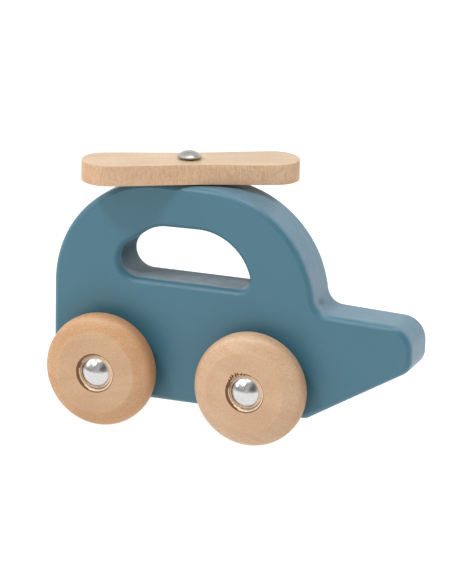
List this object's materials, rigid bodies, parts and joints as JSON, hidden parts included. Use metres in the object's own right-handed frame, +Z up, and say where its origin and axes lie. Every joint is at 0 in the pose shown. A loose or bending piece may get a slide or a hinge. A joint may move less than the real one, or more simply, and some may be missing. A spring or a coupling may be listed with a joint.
{
  "type": "toy helicopter",
  "caption": "Wooden toy helicopter cut from one painted board, with a carrying handle hole, a spinning rotor blade on a pin and turned wheels on axles.",
  "frame": {"origin": "on the floor, midway between the nose and the tail, on the body's middle plane", "axes": "+X from the nose towards the tail, +Z up, +Y towards the toy's right side; the body is symmetric about y = 0"},
  "size_m": [0.1252, 0.0466, 0.0925],
  "materials": {
    "blue_paint": "fibreboard with satin grey-blue paint",
    "beech": "fine-sanded, unpainted",
    "plain_steel": "drawn rod and spring steel",
    "chrome_plate": "polished chrome plate"
  },
  "bodies": {
    "body": {"helicopter_body": "blue_paint", "rotor_pin": "plain_steel", "rotor_cap": "chrome_plate", "rotor_cap_washer": "plain_steel"},
    "rotor": {"rotor_blade": "beech"},
    "front_axle_set": {"front_axle": "plain_steel", "front_left_axle_cap": "chrome_plate", "front_right_axle_cap": "chrome_plate", "front_left_cap_washer": "plain_steel", "front_right_cap_washer": "plain_steel"},
    "rear_axle_set": {"rear_axle": "plain_steel", "rear_left_axle_cap": "chrome_plate", "rear_right_axle_cap": "chrome_plate", "rear_left_cap_washer": "plain_steel", "rear_right_cap_washer": "plain_steel"},
    "front_left_wheel": {"front_left_wheel": "beech"},
    "front_right_wheel": {"front_right_wheel": "beech"},
    "rear_left_wheel": {"rear_left_wheel": "beech"},
    "rear_right_wheel": {"rear_right_wheel": "beech"}
  },
  "joints": [
    {"name": "rotor_spin", "type": "hinge", "parent": "body", "child": "rotor", "pos_m": [-0.0183, 0, 0.08295], "axis": [0, 0, 1], "continuous": true},
    {"name": "front_axle_turn", "type": "hinge", "parent": "body", "child": "front_axle_set", "pos_m": [-0.04225, 0, 0.019], "axis": [0, 1, 0], "continuous": true},
    {"name": "rear_axle_turn", "type": "hinge", "parent": "body", "child": "rear_axle_set", "pos_m": [0.01045, 0, 0.019], "axis": [0, 1, 0], "continuous": true},
    {"name": "front_left_wheel_spin", "type": "hinge", "parent": "front_axle_set", "child": "front_left_wheel", "pos_m": [-0.04225, -0.0155, 0.019], "axis": [0, 1, 0], "continuous": true},
    {"name": "front_right_wheel_spin", "type": "hinge", "parent": "front_axle_set", "child": "front_right_wheel", "pos_m": [-0.04225, 0.0155, 0.019], "axis": [0, 1, 0], "continuous": true},
    {"name": "rear_left_wheel_spin", "type": "hinge", "parent": "rear_axle_set", "child": "rear_left_wheel", "pos_m": [0.01045, -0.0155, 0.019], "axis": [0, 1, 0], "continuous": true},
    {"name": "rear_right_wheel_spin", "type": "hinge", "parent": "rear_axle_set", "child": "rear_right_wheel", "pos_m": [0.01045, 0.0155, 0.019], "axis": [0, 1, 0], "continuous": true}
  ]
}
